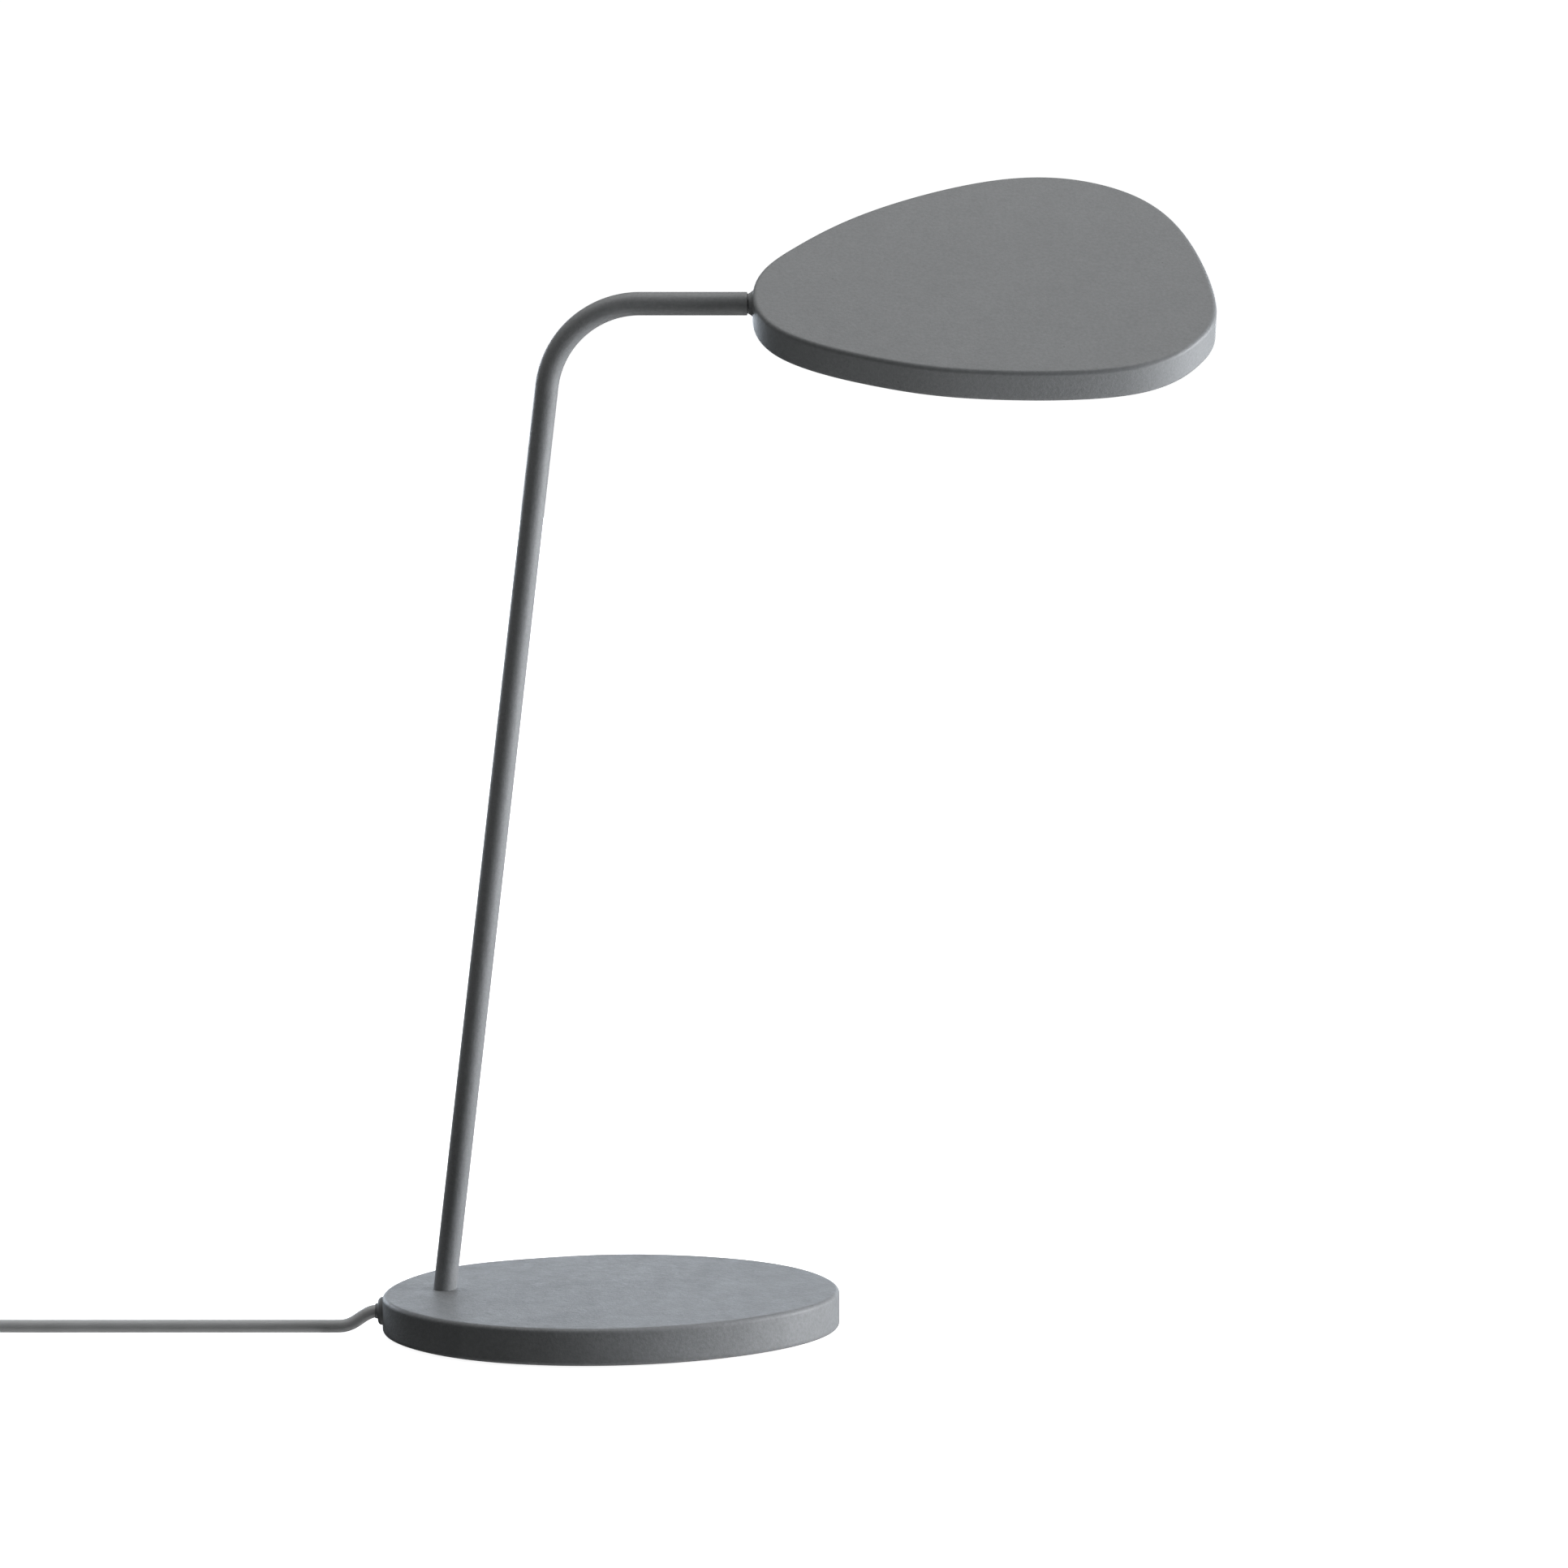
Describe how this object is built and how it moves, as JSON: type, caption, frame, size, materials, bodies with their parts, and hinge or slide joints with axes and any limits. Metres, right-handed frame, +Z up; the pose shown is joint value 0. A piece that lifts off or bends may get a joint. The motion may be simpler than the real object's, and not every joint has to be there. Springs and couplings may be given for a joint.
{
  "type": "desk lamp",
  "caption": "Slim table lamp: leaf-shaped weighted base, leaning bent tube, and a thin leaf-shaped LED head that rolls about the arm, with a press dimmer and a plug-in adapter cord.",
  "frame": {"origin": "on the table under the middle of the base's length, in the plane of the stem and arm", "axes": "+X along the arm from the stem to the head, +Z up, +Y away from the viewer of the lamp's front"},
  "size_m": [0.5723, 0.1236, 0.3972],
  "materials": {
    "powder_steel": "matt grey powder coat on steel, fine orange-peel grain",
    "powder_alloy": "matt grey powder coat on aluminium, fine orange-peel grain",
    "steel": "zinc plated steel",
    "ballast_steel": "oiled hot-rolled steel plate",
    "aluminium": "plain rolled aluminium",
    "foot_rubber": "fine-grained synthetic rubber sheet",
    "grommet_rubber": "moulded soft elastomer, matt",
    "black_plastic": "moulded plastic with a fine spark-eroded texture",
    "white_plastic": "white moulded plastic",
    "nylon_washer": "nylon, low friction",
    "opal": "opal acrylic, satin",
    "board": "glass-epoxy board with solder resist",
    "board_white": "aluminium-core board with white solder resist",
    "components": "moulded and sleeved electronic components",
    "phosphor": "LED packages with yellow phosphor",
    "wire": "white PVC insulation",
    "core_wire": "coloured PVC core insulation",
    "cord": "smooth grey PVC jacket",
    "strap": "woven hook-and-loop strap",
    "pin_metal": "nickel plated brass"
  },
  "bodies": {
    "stand": {"base_body": "powder_steel", "ballast_plate": "ballast_steel", "ballast_screws": "steel", "base_cover": "powder_steel", "cover_screws": "steel", "foot_pad": "foot_rubber", "stem_tube": "powder_steel", "stem_washer": "steel", "stem_nut": "steel", "cable_grommet": "grommet_rubber", "cable_clamp": "black_plastic", "clamp_screws": "steel", "base_lead": "cord", "lead_wires": "core_wire", "terminal_blocks": "white_plastic", "driver_board": "board", "board_components": "components", "board_screws": "steel", "stem_wire": "wire", "swivel_spindle": "steel", "thrust_washer": "nylon_washer", "stop_pin": "steel", "friction_washer": "nylon_washer", "wave_washer": "steel", "spindle_circlip": "steel", "cord_run": "cord", "cord_coil": "cord", "cord_tail": "cord", "coil_tie": "strap", "adapter_body": "black_plastic", "adapter_lid": "black_plastic", "adapter_board": "components", "adapter_pins": "pin_metal", "adapter_relief": "black_plastic"},
    "head": {"neck_bush": "powder_alloy", "head_shell": "powder_alloy", "heat_spreader": "aluminium", "led_board": "board_white", "led_chips": "phosphor", "led_connector": "white_plastic", "spreader_screws": "steel", "reflector": "white_plastic", "diffuser": "opal", "head_cover": "powder_alloy", "head_cover_screws": "steel", "head_wire": "wire", "switch_board": "board", "switch_screws": "steel", "tact_switch": "black_plastic"},
    "button": {"switch_plunger": "white_plastic", "dimmer_button": "black_plastic"}
  },
  "joints": [
    {"name": "head_roll", "type": "hinge", "parent": "stand", "child": "head", "pos_m": [0.0484, 0, 0.357], "axis": [1, 0, 0], "range_deg": [-123, 57]},
    {"name": "dimmer_press", "type": "slide", "parent": "head", "child": "button", "axis": [0, -0.5446, 0.8387], "range_m": [0, 0.0005], "stiffness_N_per_m": 2000, "springref_m": -0.0003}
  ]
}
